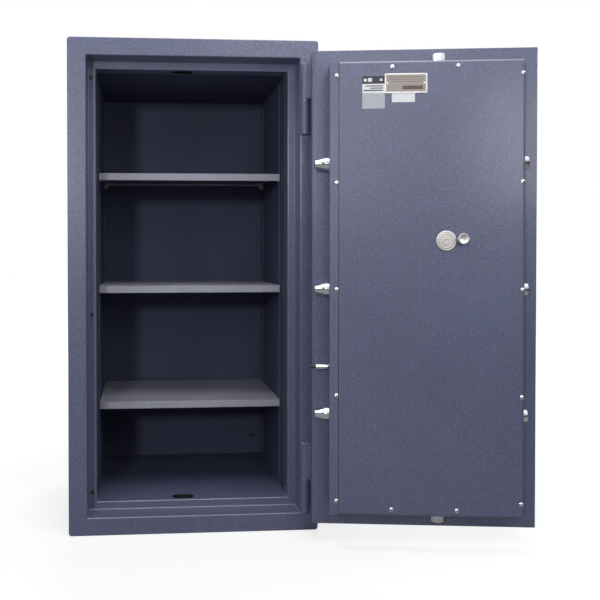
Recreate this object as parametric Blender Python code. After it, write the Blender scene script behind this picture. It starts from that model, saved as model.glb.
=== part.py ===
"""Upright burglary and fire safe with a thick lift-off hinged door, modelled with the door open.

Units are metres, +Z is up. The origin is the middle of the underside; the door side faces -Y.
Every mesh is drawn in "shut" coordinates: x and z as in the world, y measured inwards from the
front face, with the door shut and the bolts drawn back. Empties then carry the pieces to where
they stand, so a moving piece turns or slides about its own empty.
"""
import math

import bmesh
import bpy
from mathutils import Matrix, Vector

# ---------------------------------------------------------------- driving dimensions
GAP = 0.0003                      # play between pieces that touch

BODY_W, BODY_D, BODY_H = 0.870, 0.760, 1.716
CORNER_R = 0.010                  # rounding of the four long corners
SHELL_T = 0.006
FACE_T = 0.008                    # front plate of the frame

OPEN_X = 0.371                    # half width of the door opening
OPEN_Z = (0.062, 1.654)
RECESS = 0.084                    # depth of the recess that takes the door
IN_X = 0.343                      # half width of the interior
IN_Z = (0.090, 1.626)
LIP_Y = 0.096                     # back of the lip that the bolts lock behind
GROOVE_X = 0.383
STRIKE_R = 0.0235                 # ends of the oval holes for the upright bolts
FRAME_Y = 0.148                   # back of the front frame, start of the liner
IN_Y = 0.670                      # back wall of the interior
LINER_T = 0.003

HINGE = Vector((0.384, -0.0155, 0.0))
BARREL_R, BORE_R, PIN_R = 0.014, 0.0078, 0.0072
WASHER_T = 0.002
HINGES = {"top": (1.387, 1.507, 1.629), "bottom": (0.067, 0.1885, 0.314)}
DOOR_OPEN = math.radians(172.55)  # angle the door stands open at

SLAB_X = (-0.364, 0.367)
SLAB_Z = (0.067, 1.649)
SLAB_Y = 0.080                    # thickness of the door slab
SLAB_BACK_T = 0.008
SKIN_T = 0.006

BOX_X, BOX_Z = (-0.295, 0.3147), (0.127, 1.590)
BOX_Y = 0.1504                    # inner end of the bolt box
BOX_T = 0.004
COVER_X, COVER_Z = (-0.300, 0.2890), (0.122, 1.5945)
COVER_Y = (0.1445, 0.1555)

BOLT_Y, BOLT_R = 0.121, 0.022
BOLT_ZS = (0.448, 0.858, 1.268)
LIVE_TIP_X = -0.319               # bolt tips with the bolts drawn back
FIXED_TIP_X = 0.365
UPDOWN_X = -0.034                 # line of the top and bottom bolts and of the handle
TOP_TIP_Z, BOTTOM_TIP_Z = 1.621, 0.097
THROW = 0.040

PIVOT = Vector((UPDOWN_X, 0.0, 0.858))
CRANK_R, CRANK_PIN_R = THROW / math.sqrt(2), 0.005
LOCK = Vector((-0.052, 0.0, 1.015))
KNOB = Vector((-0.102, 0.1555, 1.021))
PLUNGER_Z, PLUNGER_R = 0.602, 0.0052

SHELF_TOPS = {"upper": 1.273, "middle": 0.852, "lower": 0.418}
SHELF_H, SHELF_X, SHELF_Y = 0.026, 0.3395, (0.216, 0.650)
CLIP_YS = (0.246, 0.622)
STANDARD_T, STANDARD_W = 0.002, 0.026

# colour, roughness, metallic
PAINT = ("slate_paint", (0.120, 0.127, 0.185), 0.50, 0.0)
DARK_PAINT = ("interior_paint", (0.100, 0.106, 0.158), 0.60, 0.0)
SHELF_PAINT = ("shelf_paint", (0.360, 0.360, 0.420), 0.50, 0.0)
CHROME = ("chrome", (0.80, 0.80, 0.80), 0.15, 1.0)
STEEL = ("plain_steel", (0.42, 0.42, 0.44), 0.38, 1.0)
BRUSHED = ("brushed_steel", (0.62, 0.61, 0.60), 0.32, 1.0)
FILL = ("barrier_fill", (0.42, 0.40, 0.37), 0.92, 0.0)
BLACK = ("black_plastic", (0.02, 0.02, 0.02), 0.45, 0.0)
BRONZE = ("bronze", (0.48, 0.30, 0.14), 0.40, 1.0)


# ---------------------------------------------------------------- scene helpers
def clear_scene():
    for obj in list(bpy.data.objects):
        bpy.data.objects.remove(obj, do_unlink=True)


def material(spec):
    name, colour, roughness, metallic = spec
    mat = bpy.data.materials.get(name)
    if mat is None:
        mat = bpy.data.materials.new(name)
        mat.use_nodes = True
        shader = mat.node_tree.nodes["Principled BSDF"]
        shader.inputs["Base Color"].default_value = (*colour, 1.0)
        shader.inputs["Roughness"].default_value = roughness
        shader.inputs["Metallic"].default_value = metallic
        mat.diffuse_color = (*colour, 1.0)
    return mat


SHUT = {}                         # where each empty stands with the door shut


def axis_empty(name, at, parent=None):
    empty = bpy.data.objects.new(name, None)
    bpy.context.collection.objects.link(empty)
    SHUT[name] = Vector(at)
    empty.location = at
    hang(empty, parent)
    return empty


def hang(obj, parent):
    """Hangs an object on an empty, keeping the shut coordinates it is drawn in."""
    if parent is not None:
        obj.parent = parent
        obj.matrix_parent_inverse = Matrix.Translation(-SHUT[parent.name])


def solid(name, bm, parent, spec, crease=35.0):
    """Turns a bmesh into a named solid with its own material."""
    bmesh.ops.recalc_face_normals(bm, faces=bm.faces)
    mesh = bpy.data.meshes.new(name)
    bm.to_mesh(mesh)
    bm.free()
    mesh.shade_smooth()
    mesh.set_sharp_from_angle(angle=math.radians(crease))
    obj = bpy.data.objects.new(name, mesh)
    bpy.context.collection.objects.link(obj)
    if spec is not None:
        mesh.materials.append(material(spec))
    hang(obj, parent)
    return obj


def cutter(obj):
    obj.hide_render = True
    obj.display_type = "WIRE"
    return obj


def boolean(obj, operation, tools):
    for tool in tools:
        cutter(tool)
        mod = obj.modifiers.new(operation.lower(), "BOOLEAN")
        mod.operation = operation
        mod.solver = "EXACT"
        mod.object = tool
    return obj


def cut(obj, *tools):
    return boolean(obj, "DIFFERENCE", tools)


def join(obj, *tools):
    return boolean(obj, "UNION", tools)


def soften(obj, width, segments=2, angle=40.0):
    mod = obj.modifiers.new("soften", "BEVEL")
    mod.width = width
    mod.segments = segments
    mod.limit_method = "ANGLE"
    mod.angle_limit = math.radians(angle)
    return obj


# ---------------------------------------------------------------- shapes
def box_bm(xs, ys, zs):
    bm = bmesh.new()
    bmesh.ops.create_cube(bm, size=1.0)
    size = Vector((xs[1] - xs[0], ys[1] - ys[0], zs[1] - zs[0]))
    middle = Vector((xs[0] + xs[1], ys[0] + ys[1], zs[0] + zs[1])) / 2
    bmesh.ops.transform(bm, matrix=Matrix.Translation(middle) @ Matrix.Diagonal((*size, 1.0)),
                        verts=bm.verts)
    return bm


def box(name, xs, ys, zs, parent, spec=None):
    return solid(name, box_bm(xs, ys, zs), parent, spec)


def rounded_outline(xs, zs, radius, steps=4):
    """Corner-rounded rectangle in x and z, counter-clockwise."""
    corners = ((xs[1], zs[1], 0), (xs[0], zs[1], 1), (xs[0], zs[0], 2), (xs[1], zs[0], 3))
    points = []
    for x, z, quarter in corners:
        cx = x - radius if quarter in (0, 3) else x + radius
        cz = z - radius if quarter in (0, 1) else z + radius
        for i in range(steps + 1):
            a = math.radians(90 * (quarter + i / steps))
            points.append((cx + radius * math.cos(a), cz + radius * math.sin(a)))
    return points


def swept(name, outline, by, parent, spec=None):
    """Sweeps a flat outline of points along a vector."""
    bm = bmesh.new()
    face = bm.faces.new([bm.verts.new(point) for point in outline])
    grown = bmesh.ops.extrude_face_region(bm, geom=[face])["geom"]
    verts = [v for v in grown if isinstance(v, bmesh.types.BMVert)]
    bmesh.ops.translate(bm, vec=by, verts=verts)
    return solid(name, bm, parent, spec)


def prism(name, outline, ys, parent, spec=None):
    """Sweeps an outline of (x, z) points along y."""
    return swept(name, [(x, ys[0], z) for x, z in outline], (0, ys[1] - ys[0], 0), parent, spec)


def ring_prism(name, outer, inner, ys, parent, spec=None):
    """Extrudes the band between two outlines of equal point count along y."""
    bm = bmesh.new()
    loops = []
    for outline, y in ((outer, ys[0]), (outer, ys[1]), (inner, ys[1]), (inner, ys[0])):
        loops.append([bm.verts.new((x, y, z)) for x, z in outline])
    count = len(outer)
    for low, high in zip(loops, loops[1:] + loops[:1]):
        for i in range(count):
            j = (i + 1) % count
            bm.faces.new((low[i], low[j], high[j], high[i]))
    return solid(name, bm, parent, spec)


def turned(name, start, direction, profile, parent, spec=None, segments=28, crease=35.0):
    """Turns a profile of (station, radius) pairs about a line; the ends are closed."""
    direction = Vector(direction)
    turn = Vector((0, 0, 1)).rotation_difference(direction).to_matrix().to_4x4()
    place = Matrix.Translation(Vector(start)) @ turn
    bm = bmesh.new()
    rings = []
    for station, radius in profile:
        ring = []
        for i in range(segments):
            a = 2 * math.pi * (i + 0.5) / segments
            ring.append(bm.verts.new(place @ Vector((radius * math.cos(a), radius * math.sin(a), station))))
        rings.append(ring)
    for low, high in zip(rings, rings[1:]):
        for i in range(segments):
            j = (i + 1) % segments
            bm.faces.new((low[i], low[j], high[j], high[i]))
    bm.faces.new(list(reversed(rings[0])))
    bm.faces.new(rings[-1])
    return solid(name, bm, parent, spec, crease)


def rod(name, start, direction, length, radius, parent, spec=None, segments=28):
    return turned(name, start, direction, ((0, radius), (length, radius)), parent, spec, segments)


X, Y, Z = (1, 0, 0), (0, 1, 0), (0, 0, 1)


def grown_range(pair, by):
    return (pair[0] - by, pair[1] + by)


# ---------------------------------------------------------------- body
def shell_outline(inset, radius):
    half = BODY_W / 2 - inset
    return rounded_outline((-half, half), (inset, BODY_H - inset), radius)


def build_shell(case):
    ring_prism("outer_shell", shell_outline(0, CORNER_R), shell_outline(SHELL_T, CORNER_R - SHELL_T),
               (FACE_T + GAP, BODY_D - SHELL_T - GAP), case, PAINT)
    back = prism("back_plate", shell_outline(0, CORNER_R), (BODY_D - SHELL_T, BODY_D), case, PAINT)
    soften(back, 0.002)


def build_frame(case):
    """Door jamb: recess, ledge, lip, a locking groove at each side and pockets for the strike blocks."""
    frame = prism("front_frame", shell_outline(0, CORNER_R), (0, FRAME_Y - GAP), case, PAINT)
    cut(frame,
        box("cut_recess", (-OPEN_X, OPEN_X), (-0.05, RECESS), OPEN_Z, case),
        box("cut_inner_opening", (-IN_X, IN_X), (-0.05, FRAME_Y + 0.05), IN_Z, case))
    soften(frame, 0.0035, 3)
    cut(frame,
        ring_prism("cut_rebate", rounded_outline((-0.462, 0.462), (-0.040, BODY_H + 0.040), 0.015),
                   shell_outline(SHELL_T + GAP, CORNER_R - SHELL_T), (FACE_T, FRAME_Y + 0.05), case),
        box("cut_grooves", (-GROOVE_X, GROOVE_X), (LIP_Y, FRAME_Y + 0.05), grown_range(IN_Z, -0.02), case))
    for where, face, way in (("top", IN_Z[1], 1), ("bottom", IN_Z[0], -1)):
        build_strike(case, frame, where, face, way)


def build_strike(case, frame, where, face, way):
    """Block let into the frame's rail from behind, with the oval blind hole that an upright bolt enters."""
    depth, half, reach = 0.046, 0.048, 0.015
    cut(frame, box(f"cut_{where}_pocket", (UPDOWN_X - half, UPDOWN_X + half), (LIP_Y + 0.002, FRAME_Y + 0.03),
                   sorted((face - way * 0.012, face + way * depth)), case))
    block = box(f"{where}_strike", (UPDOWN_X - half + GAP, UPDOWN_X + half - GAP),
                (LIP_Y + 0.002 + GAP, FRAME_Y - GAP), sorted((face, face + way * (depth - GAP))), case, PAINT)
    oval = []
    for sx in (1, -1):
        for step in range(13):
            a = math.radians(15.0 * step)
            x = UPDOWN_X + sx * (reach + STRIKE_R * math.sin(a))
            oval.append((x, BOLT_Y - sx * STRIKE_R * math.cos(a), face - way * 0.02))
    cut(block, swept(f"cut_{where}_strike", oval, (0, 0, way * 0.061), case))


def build_liner(case):
    outer_x, outer_z = (-IN_X - LINER_T, IN_X + LINER_T), grown_range(IN_Z, LINER_T)
    liner = box("inner_liner", outer_x, (FRAME_Y, IN_Y + LINER_T), outer_z, case, DARK_PAINT)
    flange = shell_outline(SHELL_T + GAP, CORNER_R - SHELL_T)
    join(liner, prism("add_liner_flange", flange, (FRAME_Y, FRAME_Y + LINER_T), case))
    cut(liner,
        box("cut_liner", (-IN_X, IN_X), (FRAME_Y - 0.05, IN_Y), IN_Z, case),
        rod("cut_cable_hole", (0.295, IN_Y - 0.01, 0.170), Y, 0.020, 0.0075, case, segments=20))
    turned("cable_hole_plug", (0.295, IN_Y - 0.0023, 0.170), Y,
           ((0, 0.0080), (0.0008, 0.0095), (0.0020, 0.0095), (0.0020, 0.0070), (0.0050, 0.0070)),
           case, BLACK, 20)


def build_fill(case):
    fill = prism("barrier_fill", shell_outline(SHELL_T + GAP, CORNER_R - SHELL_T),
                 (FRAME_Y + LINER_T + GAP, BODY_D - SHELL_T - GAP), case, FILL)
    hollow_x = (-IN_X - LINER_T - GAP, IN_X + LINER_T + GAP)
    hollow = box("cut_fill", hollow_x, (0, IN_Y + LINER_T + GAP), grown_range(IN_Z, LINER_T + GAP), case)
    socket = rod("cut_fill_plug", (0.295, IN_Y, 0.170), Y, 0.010, 0.012, case, segments=16)
    cut(fill, hollow, socket)


def build_body_hinges(case):
    """Lower half of each lift-off hinge, with its pin fixed in it, and its thrust washer."""
    for where, (low, split, high) in HINGES.items():
        centre = (HINGE.x, HINGE.y, low)
        height = split - WASHER_T - 2 * GAP - low
        knuckle = turned(f"hinge_lower_knuckle_{where}", centre, Z,
                         ((0, BARREL_R - 0.001), (0.001, BARREL_R), (height - 0.001, BARREL_R),
                          (height, BARREL_R - 0.001)), case, PAINT)
        foot = box(f"add_foot_{where}", (HINGE.x - 0.009, HINGE.x + 0.009), (HINGE.y, -GAP),
                   (low + 0.002, low + height - 0.002), case)
        join(knuckle, foot)
        pin_low, pin_high = low + 0.008, high - 0.016
        pin = turned(f"add_pin_{where}", (HINGE.x, HINGE.y, pin_low), Z,
                     ((0, PIN_R), (pin_high - pin_low - 0.004, PIN_R), (pin_high - pin_low, PIN_R - 0.003)),
                     case, None, 24)
        join(knuckle, pin)
        washer = rod(f"thrust_washer_{where}", (HINGE.x, HINGE.y, split - WASHER_T - GAP), Z, WASHER_T,
                     BARREL_R - 0.0008, case, BRONZE)
        cut(washer, rod(f"cut_washer_{where}", (HINGE.x, HINGE.y, split - 0.01), Z, 0.02, BORE_R, case))


def build_shelves(case):
    for side, sign in (("left", -1), ("right", 1)):
        wall = sign * (IN_X - GAP)
        for end, y in zip(("front", "rear"), CLIP_YS):
            xs = sorted((wall, wall - sign * STANDARD_T))
            box(f"standard_{side}_{end}", xs, (y - STANDARD_W / 2, y + STANDARD_W / 2),
                (IN_Z[0] + 0.018, IN_Z[1] - 0.018), case, DARK_PAINT)
    for level, top in SHELF_TOPS.items():
        build_shelf(case, level, top)


def build_shelf(case, level, top):
    """Sheet shelf with a deep front edge and a short rear one, on four clips that hang on the standards."""
    sheet, low = 0.0025, top - SHELF_H
    front, rear = SHELF_Y
    section = ((front, low), (front + sheet, low), (front + sheet, top - sheet), (rear - sheet, top - sheet),
               (rear - sheet, top - 0.009), (rear, top - 0.009), (rear, top), (front + 0.0015, top),
               (front + 0.0004, top - 0.0004), (front, top - 0.0015))
    swept(f"shelf_{level}", [(-SHELF_X, y, z) for y, z in section], (2 * SHELF_X, 0, 0), case, SHELF_PAINT)
    seat = top - sheet - GAP
    for side, sign in (("left", -1), ("right", 1)):
        back = IN_X - STANDARD_T - 2 * GAP
        outline = [(back, seat), (back, seat - 0.025), (back - 0.0045, seat - 0.025),
                   (back - 0.024, seat - 0.0060), (back - 0.024, seat)]
        for end, y in zip(("front", "rear"), CLIP_YS):
            prism(f"clip_{level}_{side}_{end}", [(sign * x, z) for x, z in outline],
                  (y - 0.0075, y + 0.0075), case, BRUSHED)


# ---------------------------------------------------------------- door
def spindle_holes(door, tag, ys):
    length = ys[1] - ys[0]
    return (rod(f"cut_{tag}_handle_hole", (PIVOT.x, ys[0], PIVOT.z), Y, length, 0.0102, door, segments=20),
            rod(f"cut_{tag}_dial_hole", (LOCK.x, ys[0], LOCK.z), Y, length, 0.0055, door, segments=16))


def build_slab(door):
    pan_end = SLAB_Y - SLAB_BACK_T - GAP
    pan = box("door_pan", SLAB_X, (0, pan_end), SLAB_Z, door, PAINT)
    soften(pan, 0.003)
    skin = SKIN_T
    cut(pan, box("cut_pan", grown_range(SLAB_X, -skin), (skin + 0.004, pan_end + 0.01),
                 grown_range(SLAB_Z, -skin), door), *spindle_holes(door, "pan", (-0.01, 0.09)))
    fill = box("door_fill", grown_range(SLAB_X, -skin - GAP), (skin + 0.004 + GAP, pan_end),
               grown_range(SLAB_Z, -skin - GAP), door, FILL)
    cut(fill, *spindle_holes(door, "fill", (-0.01, 0.09)))
    low, high = SLAB_X
    chamfer = 0.013
    outline = ((low, pan_end + GAP), (high, pan_end + GAP), (high, pan_end + GAP + 0.0015),
               (high - chamfer, SLAB_Y), (low + 0.002, SLAB_Y), (low, SLAB_Y - 0.002))
    back = swept("door_back_plate", [(x, y, SLAB_Z[0]) for x, y in outline], (0, 0, SLAB_Z[1] - SLAB_Z[0]),
                 door, PAINT)
    soften(back, 0.0012, 2, 60.0)
    cut(back, *spindle_holes(door, "back", (0.05, 0.09)))


def build_door_hinges(door):
    """Upper half of each lift-off hinge: a closed barrel with a leaf over the outer face."""
    for where, (_, split, high) in HINGES.items():
        height = high - split - GAP
        start = split + GAP
        knuckle = turned(f"hinge_upper_knuckle_{where}", (HINGE.x, HINGE.y, start), Z,
                         ((0, BARREL_R - 0.001), (0.001, BARREL_R), (height - 0.0015, BARREL_R),
                          (height, BARREL_R - 0.0015)), door, PAINT)
        leaf = box(f"add_leaf_{where}", (HINGE.x - 0.056, HINGE.x), (-0.0115, -GAP),
                   (start + 0.001, high - 0.001), door)
        join(knuckle, leaf)
        bore = rod(f"cut_upper_bore_{where}", (HINGE.x, HINGE.y, split - 0.01), Z,
                   height - 0.004, BORE_R, door)
        cut(knuckle, bore)


def build_bolt_box(door):
    ys = (SLAB_Y + GAP, BOX_Y)
    flange_w, flange_t = 0.024, 0.003
    frame = box("bolt_box", BOX_X, ys, BOX_Z, door, PAINT)
    cut(frame,
        box("cut_box_inside", grown_range(BOX_X, -BOX_T), (0, BOX_Y - flange_t), grown_range(BOX_Z, -BOX_T),
            door),
        box("cut_box_window", grown_range(BOX_X, -flange_w), (0.1, 0.2), grown_range(BOX_Z, -flange_w), door))
    hole = BOLT_R + 0.0008
    for i, z in enumerate(BOLT_ZS):
        cut(frame,
            rod(f"cut_live_hole_{i}", (BOX_X[0] - 0.01, BOLT_Y, z), X, 0.03, hole, door),
            rod(f"cut_fixed_hole_{i}", (BOX_X[1] - 0.02, BOLT_Y, z), X, 0.03, hole, door))
    cut(frame,
        rod("cut_top_bolt_hole", (UPDOWN_X, BOLT_Y, BOX_Z[1] - 0.02), Z, 0.03, hole, door),
        rod("cut_bottom_bolt_hole", (UPDOWN_X, BOLT_Y, BOX_Z[0] - 0.01), Z, 0.03, hole, door),
        rod("cut_sleeve_hole", (BOX_X[1] - 0.02, BOLT_Y, PLUNGER_Z), X, 0.03, 0.0083, door, segments=20))


def build_cover(door):
    """Main cover pan with three rounded edges, and the narrow sloping strip beside it."""
    bm = box_bm(COVER_X, COVER_Y, COVER_Z)
    front = [e for e in bm.edges if all(abs(v.co.y - COVER_Y[1]) < 1e-6 for v in e.verts)]
    hinge_side = [e for e in front if all(abs(v.co.x - COVER_X[1]) < 1e-6 for v in e.verts)]
    rounded = [e for e in front if e not in hinge_side]
    corners = [e for e in bm.edges if all(abs(v.co.x - COVER_X[0]) < 1e-6 for v in e.verts)
               and abs(e.verts[0].co.z - e.verts[1].co.z) < 1e-6]
    bmesh.ops.bevel(bm, geom=rounded + corners, offset=0.010, segments=4, profile=0.5, affect="EDGES")
    cover = solid("cover_panel", bm, door, PAINT, 50.0)
    play = 0.0004
    hollow_x = (BOX_X[0] - play, COVER_X[1] + 0.02)
    cut(cover, box("cut_cover", hollow_x, (0.10, BOX_Y + GAP), grown_range(BOX_Z, play), door))

    low, high = COVER_X[1] + 0.0012, BOX_X[1] + 0.0045
    slope_start, slope_end = BOX_Y + 0.0042, BOX_Y + 0.0012
    outline = ((low, BOX_Y + GAP), (low, slope_start - 0.001), (low + 0.001, slope_start),
               (high - 0.002, slope_end + 0.0006), (high, slope_end - 0.0015), (high, COVER_Y[0]),
               (BOX_X[1] + play, COVER_Y[0]), (BOX_X[1] + play, BOX_Y + GAP))
    swept("hinge_side_strip", [(x, y, COVER_Z[0] + 0.001) for x, y in outline],
          (0, 0, COVER_Z[1] - COVER_Z[0] - 0.002), door, PAINT)


def build_fixed_bolts(door):
    inside = BOX_X[1] - BOX_T - GAP
    start = inside - 0.010
    for name, z in zip(("lower", "middle", "upper"), BOLT_ZS):
        length = FIXED_TIP_X - start
        turned(f"fixed_bolt_{name}", (start, BOLT_Y, z), X,
               ((0, 0.025), (0.001, 0.0262), (inside - start, 0.0262), (inside - start, BOLT_R),
                (0.031, BOLT_R), (length - 0.003, 0.0142), (length, 0.0118)), door, CHROME)


def build_plunger(door):
    """Relocker trigger: a chrome sleeve in the box wall and a dark spring plunger in it."""
    sleeve = turned("plunger_sleeve", (BOX_X[1] - 0.018, BOLT_Y, PLUNGER_Z), X,
                    ((0, 0.0080), (0.0622, 0.0080), (0.0640, 0.0070)), door, CHROME, 20)
    cut(sleeve, rod("cut_sleeve", (BOX_X[1] - 0.03, BOLT_Y, PLUNGER_Z), X, 0.1, PLUNGER_R + 0.0006, door,
                    segments=20))
    at = (BOX_X[1] - 0.050, BOLT_Y, PLUNGER_Z)
    axis = axis_empty("plunger_axis", at, door)
    turned("relocker_plunger", at, X,
           ((0, 0.0085), (0.006, 0.0085), (0.006, PLUNGER_R), (0.1123, PLUNGER_R), (0.1150, 0.0036)),
           axis, BLACK, 20)


def build_nameplate(door):
    plate = box("nameplate", (0.0100, 0.1446), (COVER_Y[1] + GAP, COVER_Y[1] + 0.0011), (1.4894, 1.5525),
                door, BRUSHED)
    return plate


# ---------------------------------------------------------------- bolt work and lock
def build_handle(door):
    axis = axis_empty("handle_axis", (PIVOT.x, 0, PIVOT.z), door)
    hub = turned("spoke_handle", (PIVOT.x, -0.0006, PIVOT.z), (0, -1, 0),
                 ((0, 0.034), (0.004, 0.034), (0.008, 0.026), (0.030, 0.021), (0.048, 0.021), (0.055, 0.017),
                  (0.058, 0.008)), axis, CHROME, 32)
    for i in range(3):
        a = math.radians(90 + 120 * i)
        out = Vector((math.cos(a), 0, math.sin(a)))
        start = Vector((PIVOT.x, -0.040, PIVOT.z)) + out * 0.006
        join(hub, turned(f"add_spoke_{i}", start, out,
                         ((0, 0.008), (0.075, 0.0066), (0.084, 0.0066), (0.088, 0.0105), (0.094, 0.0130),
                          (0.100, 0.0130), (0.106, 0.0105), (0.1095, 0.0050)), axis, None, 16, 60.0))
    build_spindle(axis)
    return axis


def crank_pin(angle):
    """Centre of a crank pin in x and z, at its place with the bolts drawn back."""
    a = math.radians(angle)
    return (PIVOT.x + CRANK_R * math.cos(a), PIVOT.z + CRANK_R * math.sin(a))


BAR_PIN, TOP_PIN, BOTTOM_PIN = crank_pin(45), crank_pin(-45), crank_pin(135)
DISC_Y, ROD_Y, LINK_Y = (0.0835, 0.0895), (0.0903, 0.0963), (0.0975, 0.1035)


def build_spindle(axis):
    """Handle spindle with the cam disc and its three crank pins."""
    spindle = turned("handle_spindle", (PIVOT.x, -GAP, PIVOT.z), Y,
                     ((0, 0.009), (DISC_Y[0] + GAP, 0.009), (DISC_Y[0] + GAP, 0.037),
                      (DISC_Y[1] + GAP, 0.037)), axis, STEEL, 32)
    reach = {BAR_PIN: LINK_Y[1] + 0.002, TOP_PIN: ROD_Y[1], BOTTOM_PIN: ROD_Y[1]}
    for i, ((x, z), end) in enumerate(reach.items()):
        join(spindle, rod(f"add_crank_pin_{i}", (x, DISC_Y[0] + 0.002, z), Y, end - DISC_Y[0] - 0.002,
                          CRANK_PIN_R, axis, segments=16))


def slot_cut(name, at, along, ys, parent):
    """Slot for a crank pin: wide enough for the pin's play across the slide, long along the other way."""
    play, reach = CRANK_PIN_R + 0.0016, CRANK_R - THROW / 2 + CRANK_PIN_R + 0.0016
    x, z = at
    if along == "z":
        return box(name, (x - play, x + play), ys, (z - play, z + reach), parent)
    sign = 1 if x > PIVOT.x else -1
    return box(name, sorted((x - sign * play, x + sign * reach)), ys, (z - play, z + play), parent)


def build_bolt_bar(door):
    """Upright bar that carries the three live bolts, with a link to the crank pin."""
    axis = axis_empty("bolt_bar_axis", (-0.236, BOLT_Y, PIVOT.z), door)
    xs = (-0.246, -0.226)
    bar = box("bolt_bar", xs, (LINK_Y[0], 0.133), (BOLT_ZS[0] - 0.028, BOLT_ZS[2] + 0.028), axis, STEEL)
    x, z = BAR_PIN
    join(bar,
         box("add_link", (xs[0] + 0.004, x + 0.013), LINK_Y, (z - 0.013, z + 0.022), axis),
         box("add_lock_stop", (LOCK.x + 0.0120, LOCK.x + 0.0255), LINK_Y, (z + 0.010, LOCK.z - 0.0505), axis))
    cut(bar, slot_cut("cut_link_slot", BAR_PIN, "z", (0.09, 0.11), axis))
    for name, height in zip(("lower", "middle", "upper"), BOLT_ZS):
        length = xs[0] - GAP - LIVE_TIP_X
        turned(f"live_bolt_{name}", (xs[0] - GAP, BOLT_Y, height), (-1, 0, 0),
               ((0, BOLT_R - 0.001), (0.001, BOLT_R), (length - 0.0035, BOLT_R), (length, BOLT_R - 0.0035)),
               axis, CHROME)


def build_updown_bolts(door):
    """Top and bottom bolts, each in one piece with the flat rod that its crank pin moves."""
    for name, pin, tip, way in (("top", TOP_PIN, TOP_TIP_Z, 1), ("bottom", BOTTOM_PIN, BOTTOM_TIP_Z, -1)):
        axis = axis_empty(f"{name}_bolt_axis", (UPDOWN_X, BOLT_Y, tip), door)
        bolt = turned(f"{name}_bolt", (UPDOWN_X, BOLT_Y, tip - way * 0.150), (0, 0, way),
                      ((0, BOLT_R - 0.001), (0.001, BOLT_R), (0.1465, BOLT_R), (0.150, BOLT_R - 0.0035)),
                      axis, CHROME)
        x, z = pin
        side = 1 if x > PIVOT.x else -1
        strip = sorted((x + side * 0.012, x + side * 0.034))
        foot = tip - way * 0.138
        join(bolt,
             box(f"add_{name}_eye", sorted((x - side * 0.013, x + side * 0.034)), ROD_Y,
                 (z - 0.012, z + 0.012), axis),
             box(f"add_{name}_rod", strip, ROD_Y, sorted((z, foot)), axis),
             box(f"add_{name}_foot", sorted((UPDOWN_X - side * 0.010, x + side * 0.034)),
                 (ROD_Y[0], BOLT_Y - 0.004), sorted((foot - way * 0.010, foot + way * 0.012)), axis))
        cut(bolt, slot_cut(f"cut_{name}_slot", pin, "x", (0.08, 0.11), axis))


def build_lock(door):
    """Combination lock: case, dial ring, dial, spindle with wheel pack, and lock bolt."""
    case = box("lock_case", (LOCK.x - 0.033, LOCK.x + 0.031), (SLAB_Y + GAP, 0.1120),
               (LOCK.z - 0.043, LOCK.z + 0.043), door, BRUSHED)
    soften(case, 0.0015, 1)
    tongue_x, tongue_y = (LOCK.x - 0.010, LOCK.x + 0.010), (0.0890, 0.1035)
    cut(case,
        rod("cut_wheel_room", (LOCK.x, 0.0880, LOCK.z + 0.006), Y, 0.05, 0.026, door),
        rod("cut_case_spindle", (LOCK.x, 0.07, LOCK.z), Y, 0.05, 0.0055, door, segments=16),
        box("cut_tongue_room", grown_range(tongue_x, 0.0006), grown_range(tongue_y, 0.0006),
            (LOCK.z - 0.06, LOCK.z - 0.0215), door))
    bolt_axis = axis_empty("lock_bolt_axis", (LOCK.x, sum(tongue_y) / 2, LOCK.z - 0.05), door)
    tongue = box("lock_bolt", tongue_x, tongue_y, (LOCK.z - 0.049, LOCK.z - 0.0235), bolt_axis, BRONZE)
    soften(tongue, 0.0010, 1)

    ring = turned("dial_ring", (LOCK.x, -GAP, LOCK.z), (0, -1, 0),
                  ((0, 0.050), (0.012, 0.050), (0.016, 0.046)), door, BRUSHED, 36)
    cut(ring, rod("cut_dial_ring", (LOCK.x, -0.03, LOCK.z), Y, 0.05, 0.0395, door, segments=36))
    dial_axis = axis_empty("dial_axis", (LOCK.x, 0, LOCK.z), door)
    turned("dial", (LOCK.x, -0.0009, LOCK.z), (0, -1, 0),
           ((0, 0.0385), (0.011, 0.0385), (0.014, 0.034), (0.015, 0.024), (0.018, 0.0205), (0.040, 0.0190),
            (0.044, 0.0160), (0.045, 0.0100)), dial_axis, BLACK, 36)
    wheels = []
    for i in range(3):
        y = 0.0895 + 0.0045 * i
        wheels += [(y, 0.0040), (y, 0.0185), (y + 0.0030, 0.0185), (y + 0.0030, 0.0040)]
    turned("lock_spindle", (LOCK.x, 0, LOCK.z), Y,
           ((-GAP, 0.0040), *wheels, (0.1045, 0.0040)), dial_axis, BRONZE, 24)


def build_key_cover(door):
    """Round cover over the change-key hole, and the thumb knob whose head holds its rim."""
    face = COVER_Y[1] + GAP
    turned("key_hole_cover", (LOCK.x, face, LOCK.z), Y,
           ((0, 0.0325), (0.0015, 0.0325), (0.0025, 0.0310), (0.0025, 0.0255), (0.0033, 0.0245)),
           door, BRUSHED, 36)
    axis = axis_empty("thumb_knob_axis", KNOB, door)
    turned("thumb_knob", (KNOB.x, face, KNOB.z), Y,
           ((0, 0.0100), (0.0045, 0.0100), (0.0045, 0.0165), (0.0060, 0.0180), (0.0170, 0.0180),
            (0.0190, 0.0160), (0.0190, 0.0125), (0.0180, 0.0115)), axis, CHROME, 28)


def build_body():
    case = axis_empty("case", (0, 0, 0))
    build_shell(case)
    build_frame(case)
    build_liner(case)
    build_fill(case)
    build_body_hinges(case)
    build_shelves(case)
    return case


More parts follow.
